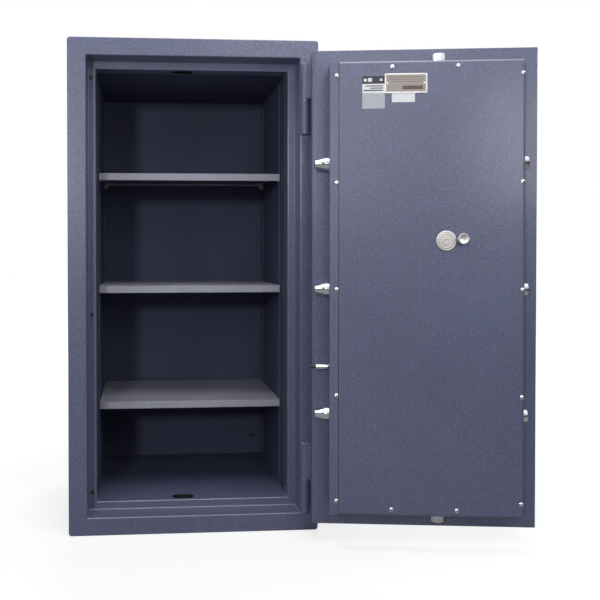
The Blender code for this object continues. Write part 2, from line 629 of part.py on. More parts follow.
def build_door(case):
    door = axis_empty("door_axis", HINGE, case)
    build_slab(door)
    build_door_hinges(door)
    build_bolt_box(door)
    build_cover(door)
    build_fixed_bolts(door)
    build_plunger(door)
    build_nameplate(door)
    build_handle(door)
    build_bolt_bar(door)
    build_updown_bolts(door)
    build_lock(door)
    build_key_cover(door)
    return door


def main():
    clear_scene()
    case = build_body()
    door = build_door(case)
    case.location = (0, -BODY_D / 2, 0)
    door.rotation_euler = (0, 0, DOOR_OPEN)
    bpy.context.view_layer.update()


main()
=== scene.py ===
"""Looks of the upright safe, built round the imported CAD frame."""
import math

import bmesh
import bpy
from mathutils import Matrix, Vector


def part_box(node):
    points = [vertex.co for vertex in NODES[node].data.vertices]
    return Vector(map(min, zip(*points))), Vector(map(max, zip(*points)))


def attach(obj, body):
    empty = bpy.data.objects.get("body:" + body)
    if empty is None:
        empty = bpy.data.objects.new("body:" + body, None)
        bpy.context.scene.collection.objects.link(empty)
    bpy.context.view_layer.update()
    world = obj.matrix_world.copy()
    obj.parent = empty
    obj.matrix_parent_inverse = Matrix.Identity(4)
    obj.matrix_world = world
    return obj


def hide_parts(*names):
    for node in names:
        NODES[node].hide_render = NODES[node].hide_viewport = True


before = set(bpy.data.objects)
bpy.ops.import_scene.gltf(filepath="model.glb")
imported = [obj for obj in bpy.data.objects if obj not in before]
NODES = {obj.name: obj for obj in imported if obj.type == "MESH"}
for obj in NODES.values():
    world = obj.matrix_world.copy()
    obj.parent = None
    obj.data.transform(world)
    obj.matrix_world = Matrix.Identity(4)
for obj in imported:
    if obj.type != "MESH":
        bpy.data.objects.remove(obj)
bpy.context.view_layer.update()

# ------------------------------------------------------------------ where things are
# Shapes are written in "shut" coordinates, in metres: x and z as in the frame with the door shut,
# y inwards from the front face of the body.
CASE_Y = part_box("front_frame")[0].y
HINGE_X, HINGE_FORWARD = 0.384, 0.0155      # the hinge axis stands this far in front of the face
HINGE = Vector((HINGE_X, CASE_Y - HINGE_FORWARD, 0.0))
DOOR_OPEN = math.radians(172.55)
TO_DOOR = (Matrix.Translation(HINGE) @ Matrix.Rotation(DOOR_OPEN, 4, "Z")
           @ Matrix.Translation((-HINGE.x, HINGE_FORWARD, 0.0)))
TO_CASE = Matrix.Translation((0.0, CASE_Y, 0.0))


# ------------------------------------------------------------------ node helpers
def set_range(node, low, high, out_low, out_high):
    """Fills in a Map Range node."""
    for key, number in zip(("From Min", "From Max", "To Min", "To Max"), (low, high, out_low, out_high)):
        node.inputs[key].default_value = number


def scaled(colour, factor, lift=0.0):
    """The colour times a factor, plus a grey lift."""
    return tuple(c * factor + lift for c in colour)


class Nodes:
    """Small wrapper that keeps material code short."""

    def __init__(self, name):
        self.mat = bpy.data.materials.new(name)
        self.mat.use_nodes = True
        self.tree = self.mat.node_tree
        self.shader = self.tree.nodes["Principled BSDF"]
        self.coords = self.add("ShaderNodeTexCoord")

    def add(self, kind, **settings):
        node = self.tree.nodes.new(kind)
        for key, value in settings.items():
            setattr(node, key, value)
        return node

    def link(self, out, into):
        self.tree.links.new(out, into)

    def noise(self, scale, detail=4.0, roughness=0.55, stretch=None, offset=0.0):
        node = self.add("ShaderNodeTexNoise")
        node.inputs["Scale"].default_value = scale
        node.inputs["Detail"].default_value = detail
        node.inputs["Roughness"].default_value = roughness
        self.place(node, stretch, offset)
        return node.outputs["Fac"]

    def voronoi(self, scale):
        node = self.add("ShaderNodeTexVoronoi", feature="SMOOTH_F1")
        node.inputs["Scale"].default_value = scale
        self.place(node)
        return node.outputs["Distance"]

    def place(self, node, stretch=None, offset=0.0):
        """Feeds a texture with object coordinates, stretched and shifted as asked."""
        source = self.coords.outputs["Object"]
        if stretch or offset:
            mapping = self.add("ShaderNodeMapping")
            mapping.inputs["Scale"].default_value = stretch or (1, 1, 1)
            mapping.inputs["Location"].default_value = (offset, offset, offset)
            self.link(source, mapping.inputs["Vector"])
            source = mapping.outputs["Vector"]
        self.link(source, node.inputs["Vector"])

    def ramp(self, value, low, high, out_low=0.0, out_high=1.0):
        node = self.add("ShaderNodeMapRange", clamp=True)
        self.link(value, node.inputs["Value"])
        set_range(node, low, high, out_low, out_high)
        return node.outputs["Result"]

    def maths(self, operation, a, b):
        node = self.add("ShaderNodeMath", operation=operation)
        for socket, value in zip(node.inputs, (a, b)):
            if isinstance(value, (int, float)):
                socket.default_value = value
            else:
                self.link(value, socket)
        return node.outputs[0]

    def mix(self, factor, a, b):
        """Mixes two colours, each a tuple or a socket."""
        node = self.add("ShaderNodeMix", data_type="RGBA")
        in_factor, in_a, in_b, out_colour = node.inputs[0], node.inputs[6], node.inputs[7], node.outputs[2]
        for socket, value in ((in_factor, factor), (in_a, a), (in_b, b)):
            if isinstance(value, tuple):
                socket.default_value = (*value, 1.0)
            else:
                self.link(value, socket)
        return out_colour

    def edges(self, radius, low=0.02, high=0.25):
        """Mask that is 1 along outer and inner edges."""
        dot = self.add("ShaderNodeVectorMath", operation="DOT_PRODUCT")
        self.link(self.rounded_normal(radius), dot.inputs[0])
        self.link(self.add("ShaderNodeNewGeometry").outputs["Normal"], dot.inputs[1])
        return self.ramp(self.maths("SUBTRACT", 1.0, dot.outputs["Value"]), low, high)

    def bump(self, height, strength, distance, normal=None):
        node = self.add("ShaderNodeBump")
        node.inputs["Strength"].default_value = strength
        node.inputs["Distance"].default_value = distance
        self.link(height, node.inputs["Height"])
        if normal is not None:
            self.link(normal, node.inputs["Normal"])
        self.link(node.outputs["Normal"], self.shader.inputs["Normal"])

    def rounded_normal(self, radius):
        """Normal that softens edges by the given radius."""
        bevel = self.add("ShaderNodeBevel", samples=6)
        bevel.inputs["Radius"].default_value = radius
        return bevel.outputs["Normal"]

    def set(self, **values):
        for key, value in values.items():
            self.shader.inputs[key.replace("_", " ")].default_value = value

    def split(self, kind, output):
        """Separates a vector output of a new node of the given kind into X, Y and Z."""
        parts = self.add("ShaderNodeSeparateXYZ")
        self.link(self.add(kind).outputs[output], parts.inputs[0])
        return parts.outputs


def textured_paint(name, colour, edge):
    """Textured enamel: pebbled skin that sparkles, uneven tone, smudges, edges lighter from wear and painted
    highlight, and a painted highlight on upward slopes.
    """
    roughness, soft_edge = 0.40, 0.0022
    n = Nodes(name)
    broad = n.noise(1.7, 3.0)
    cloud = n.noise(9.0, 5.0, 0.6, offset=3.1)
    grain = n.noise(230.0, 2.5, 0.6)
    fleck = n.noise(330.0, 1.5, 0.5, offset=7.7)
    tone = n.mix(n.ramp(broad, 0.3, 0.7), scaled(colour, 0.93), scaled(colour, 1.07))
    tone = n.mix(n.ramp(cloud, 0.42, 0.72, 0.0, 0.35), tone, scaled(colour, 1.16))
    tone = n.mix(n.ramp(grain, 0.38, 0.62, 0.0, 0.55), tone, scaled(colour, 0.62))
    tone = n.mix(n.ramp(fleck, 0.56, 0.68, 0.0, 0.55), tone, scaled(colour, 1.9))
    # painted highlight on faces that slope upwards, where the overhead light catches the roundings; nearly
    # none on level tops
    up = n.split("ShaderNodeNewGeometry", "Normal")["Z"]
    painted_top_highlight = n.maths("MULTIPLY", n.ramp(up, 0.25, 0.60, 0.0, 0.60), n.ramp(up, 0.93, 0.985, 1.0, 0.12))
    tone = n.mix(painted_top_highlight, tone, scaled(colour, 0.6, 0.34))
    # lighter outer and inner edges: part wear, part painted highlight on the rounded edges, broken up by
    # noise
    patchy_wear_and_highlight = n.ramp(n.noise(38.0, 6.0, 0.7), 0.36, 0.62, 0.35, 1.0)
    wear = n.maths("MULTIPLY", n.edges(0.0045, 0.01, 0.10), n.maths("MULTIPLY", patchy_wear_and_highlight, 0.62))
    tone = n.mix(wear, tone, edge)
    n.link(tone, n.shader.inputs["Base Color"])
    smudge = n.noise(5.5, 6.0, 0.65, (1.0, 1.0, 0.45), 1.7)
    n.link(n.ramp(smudge, 0.30, 0.72, roughness - 0.06, roughness + 0.10), n.shader.inputs["Roughness"])
    pebbles = n.maths("ADD", n.voronoi(240.0), n.maths("MULTIPLY", n.noise(600.0, 2.0), 0.4))
    n.bump(pebbles, 0.55, 0.0010, n.rounded_normal(soft_edge))
    n.set(Coat_Weight=0.35, Coat_Roughness=0.22)
    return n.mat


def smooth_paint(name, colour, roughness, shine, under=None, floor=None):
    """Plain sprayed paint with faint runs, specks and scuffs.

    under: how much darker the faces that look down are painted, as painted shade; floor: the colour
    that faces which look up take near the front of the body, as painted light.
    """
    n = Nodes(name)
    cloud = n.noise(4.0, 5.0, 0.6)
    speck = n.noise(260.0, 2.5, 0.6)
    scuff = n.noise(60.0, 8.0, 0.75, (1.0, 1.0, 0.08), 2.0)
    tone = n.mix(n.ramp(cloud, 0.3, 0.7), scaled(colour, 0.88), scaled(colour, 1.12))
    tone = n.mix(n.ramp(speck, 0.40, 0.66, 0.0, 0.40), tone, scaled(colour, 1.55))
    tone = n.mix(n.ramp(scuff, 0.62, 0.82, 0.0, 0.30), tone, scaled(colour, 1.4, 0.006))
    # painted highlight: lighter along outer and inner edges
    tone = n.mix(n.maths("MULTIPLY", n.edges(0.0020), 0.35), tone, scaled(colour, 1.8, 0.015))
    up = n.split("ShaderNodeNewGeometry", "Normal")["Z"]
    # painted light: faces that look up turn to the floor colour near the front of the body, where more light
    # gets in
    if floor:
        inwards = n.split("ShaderNodeNewGeometry", "Position")["Y"]
        painted_light_near_front = n.ramp(inwards, CASE_Y + 0.145, CASE_Y + 0.300, 0.85, 0.0)
        tone = n.mix(n.maths("MULTIPLY", n.ramp(up, 0.6, 0.9), painted_light_near_front), tone, floor)
    # painted shade: faces that look down are darker
    if under:
        tone = n.mix(n.ramp(up, -0.6, -0.2, 1.0, 0.0), tone, scaled(colour, under))
    n.link(tone, n.shader.inputs["Base Color"])
    n.link(n.ramp(cloud, 0.3, 0.7, roughness - 0.08, roughness + 0.10), n.shader.inputs["Roughness"])
    n.bump(n.noise(240.0, 3.0), 0.25, 0.0006, n.rounded_normal(0.0012))
    n.set(Specular_IOR_Level=shine)
    return n.mat


def chrome(name, colour=(0.86, 0.86, 0.88), roughness=0.10):
    """Plated metal with fingerprints and fine scratches."""
    n = Nodes(name)
    touched = n.noise(34.0, 6.0, 0.7)
    fine = n.noise(700.0, 3.0, 0.6, (1.0, 1.0, 0.12))
    tone = n.mix(n.ramp(touched, 0.35, 0.75), colour, scaled(colour, 0.86))
    n.link(tone, n.shader.inputs["Base Color"])
    dull = n.maths("ADD", touched, n.maths("MULTIPLY", fine, 0.4))
    n.link(n.ramp(dull, 0.45, 0.95, roughness * 0.6, roughness * 2.2), n.shader.inputs["Roughness"])
    n.bump(fine, 0.04, 0.0003, n.rounded_normal(0.0006))
    n.set(Metallic=1.0)
    return n.mat


def brushed(name, colour=(0.60, 0.60, 0.60), roughness=0.34, along=(1.0, 60.0, 60.0)):
    """Satin metal brushed one way, with stains."""
    n = Nodes(name)
    lines = n.noise(16.0, 6.0, 0.65, along)
    stain = n.noise(22.0, 5.0, 0.6)
    tone = n.mix(n.ramp(lines, 0.35, 0.65), scaled(colour, 0.80), colour)
    tone = n.mix(n.ramp(stain, 0.50, 0.80, 0.0, 0.35), tone, scaled(colour, 0.6))
    n.link(tone, n.shader.inputs["Base Color"])
    n.link(n.ramp(lines, 0.3, 0.7, roughness - 0.08, roughness + 0.12), n.shader.inputs["Roughness"])
    n.bump(lines, 0.10, 0.0004, n.rounded_normal(0.0006))
    n.set(Metallic=1.0)
    return n.mat


def plain(name, colour, roughness=0.5, metallic=0.0, grain=90.0, depth=0.10, spread=0.15):
    """Moulded plastic, printed film or cast filler."""
    n = Nodes(name)
    cloud = n.noise(grain, 5.0, 0.6)
    tone = n.mix(n.ramp(cloud, 0.3, 0.7), scaled(colour, 1 - spread), scaled(colour, 1 + spread))
    n.link(tone, n.shader.inputs["Base Color"])
    n.link(n.ramp(cloud, 0.3, 0.7, roughness - 0.06, roughness + 0.08), n.shader.inputs["Roughness"])
    n.bump(cloud, depth, 0.0005)
    n.set(Metallic=metallic)
    return n.mat


def strike_paint(name, colour):
    """Frame enamel on the face of a strike block; down its hole the bare steel is painted near-black as
    shade.
    """
    lower_face, upper_face, blend = 0.0897, 1.6263, 0.0012
    n = Nodes(name)
    height = n.split("ShaderNodeNewGeometry", "Position")["Z"]
    # mask for the near-black painted shade down the hole
    in_hole = n.maths("ADD", n.ramp(height, lower_face - blend, lower_face, 1.0, 0.0),
                      n.ramp(height, upper_face, upper_face + blend, 0.0, 1.0))
    grain = n.mix(n.ramp(n.noise(230.0, 2.5, 0.6), 0.38, 0.62), colour, scaled(colour, 0.75))
    n.link(n.mix(in_hole, grain, (0.004, 0.004, 0.006)), n.shader.inputs["Base Color"])
    n.bump(n.voronoi(240.0), 0.4, 0.0010)
    n.set(Roughness=0.55)
    return n.mat


SLATE = (0.128, 0.142, 0.238)
M = {
    "paint": textured_paint("slate_enamel", SLATE, (0.27, 0.28, 0.37)),
    "strike": strike_paint("strike_enamel", SLATE),
    # inside of the body: a darker copy of the slate enamel as painted shade, with the slate itself as painted
    # light on its floor near the front
    "inside": smooth_paint("inside_paint_painted_shade", (0.062, 0.068, 0.122), 0.6, 0.18, floor=SLATE),
    # under=0.35 paints shade on the undersides of the shelves
    "shelf": smooth_paint("shelf_enamel", (0.330, 0.335, 0.400), 0.42, 0.4, 0.35),
    "chrome": chrome("bolt_chrome"),
    "steel": brushed("machined_steel", (0.44, 0.44, 0.46)),
    "brushed": brushed("satin_steel"),
    "fill": plain("barrier_mix", (0.42, 0.40, 0.37), 0.92, 0.0, 160.0, 0.6, 0.25),
    "black": plain("black_moulding", (0.018, 0.018, 0.020), 0.42),
    "bronze": brushed("bearing_bronze", (0.48, 0.31, 0.15)),
    "standard": smooth_paint("standard_paint", (0.075, 0.080, 0.115), 0.45, 0.4),
    "chrome_screw": chrome("screw_plate", (0.88, 0.88, 0.90), 0.12),
    "dark_slot": plain("recess_shadow", (0.10, 0.10, 0.11), 0.7),
    "plate_rim": brushed("plate_rim", (0.74, 0.72, 0.68), 0.28, (1.0, 1.0, 40.0)),
    "plate_field": plain("plate_field", (0.33, 0.29, 0.27), 0.42, 0.3, 300.0, 0.1, 0.12),
    "plate_dark": plain("plate_ink", (0.10, 0.085, 0.085), 0.5),
    "black_print": plain("black_print", (0.020, 0.021, 0.035), 0.35),
    "white_print": plain("white_print", (0.82, 0.83, 0.86), 0.38, 0.0, 60.0, 0.03, 0.04),
    "pale_print": plain("pale_print", (0.47, 0.50, 0.55), 0.38, 0.0, 60.0, 0.03, 0.05),
    "disc": brushed("stamped_disc", (0.66, 0.63, 0.61), 0.45, (30.0, 1.0, 30.0)),
    "knob": chrome("knob_plate", (0.74, 0.72, 0.70), 0.24),
}

# what the CAD solids wear, by whole name and by the start of the name
LOOKS = {
    "paint": ["outer_shell", "back_plate", "front_frame", "door_pan", "door_back_plate", "bolt_box",
              "cover_panel", "hinge_side_strip"],
    "strike": ["top_strike", "bottom_strike"],
    "inside": ["inner_liner"],
    "fill": ["barrier_fill", "door_fill"],
    "black": ["cable_hole_plug", "relocker_plunger", "dial"],
    "steel": ["handle_spindle", "bolt_bar"],
    "brushed": ["nameplate", "lock_case", "dial_ring", "key_hole_cover"],
    "bronze": ["lock_spindle", "lock_bolt"],
    "chrome": ["plunger_sleeve", "spoke_handle", "thumb_knob", "top_bolt", "bottom_bolt"],
}
LOOKS_BY_START = {"hinge_lower": "paint", "hinge_upper": "paint", "thrust_washer": "steel",
                  "standard_": "inside", "shelf_": "shelf", "clip_": "brushed",
                  "fixed_bolt": "chrome", "live_bolt": "chrome"}


def wear(node, look):
    """Puts one material in every slot of a CAD node's mesh."""
    mesh = NODES[node].data
    if not mesh.materials:
        mesh.materials.append(M[look])
    for i in range(len(mesh.materials)):
        mesh.materials[i] = M[look]


for look, names in LOOKS.items():
    for node in names:
        wear(node, look)
for start, look in LOOKS_BY_START.items():
    for node in NODES:
        if node.startswith(start):
            wear(node, look)


# ------------------------------------------------------------------ mesh helpers
def finish_mesh(name, bm, look, body, shut, crease=35.0):
    """Moves shut-coordinate geometry to where it stands at rest and hangs it on its body."""
    bmesh.ops.recalc_face_normals(bm, faces=bm.faces)
    mesh = bpy.data.meshes.new(name)
    bm.to_mesh(mesh)
    bm.free()
    mesh.transform(TO_DOOR if shut else TO_CASE)
    mesh.shade_smooth()
    mesh.set_sharp_from_angle(angle=math.radians(crease))
    mesh.materials.append(M[look])
    obj = bpy.data.objects.new(name, mesh)
    bpy.context.collection.objects.link(obj)
    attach(obj, body)
    return obj


def add_turned(bm, start, direction, profile, segments=72, knurl=None):
    """Adds a closed turned shape; knurl = (first ring, last ring, teeth, depth)."""
    direction = Vector(direction)
    turn = Vector((0, 0, 1)).rotation_difference(direction).to_matrix().to_4x4()
    place = Matrix.Translation(Vector(start)) @ turn
    rings = []
    for index, (station, radius) in enumerate(profile):
        ring = []
        for i in range(segments):
            a = 2 * math.pi * i / segments
            r = radius
            if knurl and knurl[0] <= index <= knurl[1]:
                r -= knurl[3] * (0.5 + 0.5 * math.cos(knurl[2] * a))
            ring.append(bm.verts.new(place @ Vector((r * math.cos(a), r * math.sin(a), station))))
        rings.append(ring)
    for low, high in zip(rings, rings[1:]):
        for i in range(segments):
            j = (i + 1) % segments
            bm.faces.new((low[i], low[j], high[j], high[i]))
    bm.faces.new(list(reversed(rings[0])))
    bm.faces.new(rings[-1])
    return rings


def add_box(bm, xs, ys, zs, bevel=0.0, segments=2):
    """Adds a box between the given pairs of coordinates, its edges rounded by the bevel."""
    made = bmesh.ops.create_cube(bm, size=1.0)["verts"]
    size = Vector((xs[1] - xs[0], ys[1] - ys[0], zs[1] - zs[0]))
    middle = Vector((xs[0] + xs[1], ys[0] + ys[1], zs[0] + zs[1])) / 2
    bmesh.ops.transform(bm, matrix=Matrix.Translation(middle) @ Matrix.Diagonal((*size, 1.0)), verts=made)
    if bevel:
        edges = list({e for v in made for e in v.link_edges})
        bmesh.ops.bevel(bm, geom=edges, offset=bevel, segments=segments, profile=0.5, affect="EDGES")


def turned(name, start, direction, profile, look, body, shut=True, segments=72, knurl=None):
    """Makes one turned piece; the profile is a list of (station, radius) pairs along the axis."""
    bm = bmesh.new()
    add_turned(bm, start, direction, profile, segments, knurl)
    return finish_mesh(name, bm, look, body, shut)


def arc(station, radius, r, steps=5):
    """Quarter round from (station, radius) to (station + r, radius - r)."""
    points = []
    for i in range(steps + 1):
        a = math.radians(90 * i / steps)
        points.append((station + r * math.sin(a), radius - r + r * math.cos(a)))
    return points


# ------------------------------------------------------------------ dimensions shared with the solids
BOLT_Y, BOLT_R = 0.121, 0.022
BOLT_ZS = {"lower": 0.448, "middle": 0.858, "upper": 1.268}
FIXED_TIP_X = 0.365
LIVE_ROOT_X, LIVE_TIP_X = -0.2463, -0.319
TOP_TIP_Z, BOTTOM_TIP_Z = 1.621, 0.097
BOX_RIGHT = 0.3147          # hinge side of the bolt box
COVER_FACE = 0.1555         # inner face of the cover panel
PRINT_FACE = COVER_FACE + 0.0003
PLUNGER_Z = 0.602
HANDLE_AT = (-0.034, 0.858)
CRANK_R = 0.040 / math.sqrt(2)
LOCK_AT = (-0.052, 1.015)
KNOB_AT = (-0.102, 1.021)
DIAL_FACE = -0.0009         # root of the dial, just clear of its ring
DIAL_SLOPE = math.atan2(0.0052, 0.0080)


def blunt_bolt(length):
    """Profile of a full-width bolt with a softly chamfered tip."""
    return [(0, 0.021), (0.001, BOLT_R), (length - 0.0045, BOLT_R), (length - 0.0040, BOLT_R - 0.0003),
            (length - 0.0012, BOLT_R - 0.0032), (length - 0.0003, BOLT_R - 0.0045), (length, BOLT_R - 0.0070)]


def build_bolts():
    """Collared, tapered fixed bolts on the hinge side, and blunt live bolts on the opening side."""
    start = BOX_RIGHT - 0.0043 - 0.010
    length = FIXED_TIP_X - start
    tapered = [(0, 0.025), (0.001, 0.0262), (0.010, 0.0262), (0.010, BOLT_R), (0.0305, BOLT_R),
               (0.0315, BOLT_R - 0.0004), (length - 0.0035, 0.0145)] + arc(length - 0.0030, 0.0140, 0.0030)
    blunt = blunt_bolt(LIVE_ROOT_X - LIVE_TIP_X)
    for name, z in BOLT_ZS.items():
        fixed = turned(f"bolt_fixed_{name}", (start, BOLT_Y, z), (1, 0, 0), tapered, "chrome", "door")
        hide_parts(f"fixed_bolt_{name}")
        live = turned(f"bolt_live_{name}", (LIVE_ROOT_X, BOLT_Y, z), (-1, 0, 0), blunt, "chrome", "bolt_bar")
        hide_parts(f"live_bolt_{name}")


def build_updown():
    """Top and bottom bolts, each on a flat rod with a foot and an eye at the crank."""
    mid_x, mid_z = HANDLE_AT
    rod_ys, bolt_length, soft = (0.0903, 0.0963), 0.150, 0.0008
    for name, tip, way, corner in (("top", TOP_TIP_Z, 1, -45), ("bottom", BOTTOM_TIP_Z, -1, 135)):
        x = mid_x + CRANK_R * math.cos(math.radians(corner))
        z = mid_z + CRANK_R * math.sin(math.radians(corner))
        side = 1 if x > mid_x else -1
        outer = x + side * 0.034
        foot = tip - way * 0.138
        bm = bmesh.new()
        add_turned(bm, (mid_x, BOLT_Y, tip - way * bolt_length), (0, 0, way), blunt_bolt(bolt_length))
        add_box(bm, sorted((x + side * 0.012, outer)), rod_ys, sorted((z, foot)), soft)
        add_box(bm, sorted((mid_x - side * 0.010, outer)), (rod_ys[0], BOLT_Y - 0.004),
                sorted((foot - way * 0.010, foot + way * 0.012)), soft)
        add_box(bm, sorted((x + side * 0.0085, outer)), rod_ys, (z - 0.012, z + 0.012), soft)
        obj = finish_mesh(f"bolt_{name}", bm, "chrome", f"{name}_bolt", True)
        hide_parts(f"{name}_bolt")


def build_plunger():
    """Relocker plunger in its sleeve, which is a tube open at both ends."""
    around = 48
    outside = [(0, 0.0056), (0, 0.0080), (0.0615, 0.0080)] + arc(0.0620, 0.0080, 0.0015, 4)
    outside.append((0.0640, 0.0058))
    bm = bmesh.new()
    rings = add_turned(bm, (BOX_RIGHT - 0.018, BOLT_Y, PLUNGER_Z), (1, 0, 0), outside, around)
    bmesh.ops.delete(bm, geom=[f for f in bm.faces if len(f.verts) == around], context="FACES_ONLY")
    rims = [e for ring in (rings[0], rings[-1]) for e in
            {edge for v in ring for edge in v.link_edges if edge.is_boundary}]
    bmesh.ops.bridge_loops(bm, edges=rims)
    sleeve = finish_mesh("trigger_sleeve", bm, "chrome", "door", True)
    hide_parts("plunger_sleeve")
    profile = [(0, 0.0080), (0.0005, 0.0085), (0.006, 0.0085), (0.006, 0.0050), (0.1115, 0.0050)]
    profile += arc(0.1120, 0.0050, 0.0028)
    plunger = turned("trigger_plunger", (BOX_RIGHT - 0.050, BOLT_Y, PLUNGER_Z), (1, 0, 0), profile, "black",
                     "plunger", segments=40)
    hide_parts("relocker_plunger")


def screw(name, at, tilt, turn):
    """Domed cross-recess screw with a thin washer rim, on the inner face of the door."""
    radius, rim, height, steps = 0.0072, 0.0008, 0.0030, 6
    inner = radius - 0.0004
    dome = [(0.0, radius), (0.0006, radius), (rim, inner)]
    for i in range(1, steps + 1):
        a = math.radians(90 * i / steps)
        dome.append((rim + height * math.sin(a), max(inner * math.cos(a), 0.0016)))
    place = Matrix.Translation(at) @ Matrix.Rotation(-tilt, 4, "Z") @ Matrix.Rotation(turn, 4, "Y")
    head, cross = bmesh.new(), bmesh.new()
    add_turned(head, (0, 0, 0), (0, 1, 0), dome, 40)
    # the cross recess is a dark cross standing proud of the head: painted shade, not a cut
    add_box(cross, (-0.0033, 0.0033), (0.0030, 0.00385), (-0.0007, 0.0007), 0.0001, 1)
    add_box(cross, (-0.0007, 0.0007), (0.0030, 0.00390), (-0.0033, 0.0033), 0.0001, 1)
    for suffix, bm, look in (("", head, "chrome_screw"), ("_recess_shade", cross, "dark_slot")):
        bm.transform(place)
        finish_mesh(name + suffix, bm, look, "door", True)


def build_screws():
    """Five screws down each side of the cover, the hinge side's on the tilted strip, and four between."""
    levels = [0.168 + 0.345 * i for i in range(5)]
    spots = [(0.2965, 0.1541, z, math.radians(-5.3)) for z in levels]
    spots += [(-0.2910, COVER_FACE, z, 0.0) for z in levels]
    spots += [(x, COVER_FACE, z, 0.0) for x in (0.120, -0.088) for z in (0.144, 1.574)]
    for i, (x, y, z, tilt) in enumerate(spots):
        screw(f"cover_screw_{i + 1:02d}", (x, y, z), tilt, i * 0.7)


def label(name, xs, zs, thickness, look, y=COVER_FACE + 0.0002):
    """Thin flat piece on the cover's inner face."""
    bm = bmesh.new()
    add_box(bm, xs, (y, y + thickness), zs, min(thickness, 0.0008) * 0.45, 1)
    return finish_mesh(name, bm, look, "door", True)


def build_labels():
    """Blank rating plate with a raised rim, and four blank stickers with generic marks."""
    low, high, bottom, top = 0.0100, 0.1446, 1.4894, 1.5525
    rim, inset, margin = 0.0032, 0.0045, 0.014
    y = PRINT_FACE
    bm = bmesh.new()
    add_box(bm, (low, high), (y, y + 0.0007), (bottom, top), 0.0003, 1)
    between = (bottom + rim, top - rim)
    for xs, zs in (((low, high), (top - rim, top)), ((low, high), (bottom, bottom + rim)),
                   ((low, low + rim), between), ((high - rim, high), between)):
        add_box(bm, xs, (y + 0.0006, y + 0.0013), zs, 0.0003, 1)
    plate = finish_mesh("rating_plate", bm, "plate_rim", "door", True)
    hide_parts("nameplate")
    label("rating_plate_field", (low + inset, high - inset), (bottom + inset, top - inset), 0.0003,
          "plate_field", y + 0.0007)
    for i, (z, shorter) in enumerate(((1.5405, 0.0), (1.5330, 0.0), (1.5255, 0.012))):
        label(f"rating_plate_rule_{i + 1}", (low + margin, high - margin - shorter), (z, z + 0.0012), 0.0002,
              "plate_dark", y + 0.0010)
    label("rating_plate_box", (low + margin, low + 0.078), (1.5010, 1.5130), 0.0002, "plate_dark", y + 0.0010)
    for i, x in enumerate((low + 0.009, high - 0.009)):
        turned(f"rating_plate_rivet_{i + 1}", (x, y + 0.0007, 1.521), (0, 1, 0),
               [(0, 0.0030), (0.0006, 0.0028), (0.0012, 0.0018), (0.0014, 0.0006)], "chrome_screw", "door",
               segments=24)
    strip = (0.144, 0.216)
    label("sticker_strip_black", strip, (1.5205, 1.5450), 0.0003, "black_print")
    label("sticker_strip_white", strip, (1.4905, 1.5205), 0.0003, "white_print")
    label("sticker_blank", strip, (1.4410, 1.4905), 0.0003, "pale_print")
    label("sticker_small", (0.049, 0.122), (1.4605, 1.4890), 0.0003, "white_print")
    for i, (x0, x1, z0, z1, look) in enumerate((
            (0.185, 0.198, 1.527, 1.539, "white_print"), (0.152, 0.160, 1.529, 1.537, "white_print"),
            (0.202, 0.211, 1.528, 1.537, "white_print"), (0.149, 0.211, 1.4975, 1.5010, "black_print"),
            (0.149, 0.190, 1.5050, 1.5080, "black_print"), (0.149, 0.205, 1.5120, 1.5150, "black_print"))):
        label(f"sticker_mark_{i + 1}", (x0, x1), (z0, z1), 0.0002, look, COVER_FACE + 0.00045)


def build_key_cover():
    """Stamped cover disc with a ring of beads, and the knurled knob next to it."""
    x, z = LOCK_AT
    face = PRINT_FACE
    profile = [(0, 0.0325), (0.0014, 0.0325), (0.0020, 0.0320), (0.0026, 0.0308), (0.0027, 0.0290),
               (0.0018, 0.0280), (0.0018, 0.0262), (0.0028, 0.0252), (0.0030, 0.0200), (0.0022, 0.0190),
               (0.0022, 0.0176), (0.0031, 0.0166), (0.0033, 0.0060), (0.0024, 0.0050), (0.0024, 0.0010)]
    disc = turned("key_cover_disc", (x, face, z), (0, 1, 0), profile, "disc", "door", segments=96)
    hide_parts("key_hole_cover")
    bm = bmesh.new()
    beads, ring_radius = 24, 0.0229
    bead = [(0, 0.0017), (0.0004, 0.0016), (0.0007, 0.0008)]
    for i in range(beads):
        a = 2 * math.pi * i / beads
        at = (x + math.cos(a) * ring_radius, face + 0.0026, z + math.sin(a) * ring_radius)
        add_turned(bm, at, (0, 1, 0), bead, 12)
    finish_mesh("key_cover_beads", bm, "disc", "door", True)
    x, z = KNOB_AT
    longest = 0.0190
    profile = [(0, 0.0100), (0.0045, 0.0100), (0.0045, 0.0160), (0.0052, 0.0174), (0.0062, 0.0180),
               (0.0080, 0.0180), (0.0160, 0.0180), (0.0175, 0.0176)] + arc(0.0176, 0.0174, 0.0022, 4)
    profile += [(0.0198, 0.0120), (0.0186, 0.0108), (0.0184, 0.0020)]
    profile = [(min(station, longest), radius) for station, radius in profile]
    knob = turned("thumb_knob_knurled", (x, face, z), (0, 1, 0), profile, "knob", "thumb_knob", segments=144,
                  knurl=(4, 6, 36, 0.0008))
    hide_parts("thumb_knob")


def build_ledge_plugs():
    """Three dished plugs in the left ledge of the frame."""
    for i, z in enumerate((1.5947, 0.757, 0.124)):
        turned(f"ledge_plug_{i + 1}", (-0.3590, 0.0836, z), (0, -1, 0),
               [(0, 0.0070), (0.0007, 0.0070), (0.0010, 0.0062), (0.0006, 0.0050), (0.0006, 0.0006)],
               "black", "case", shut=False, segments=32)


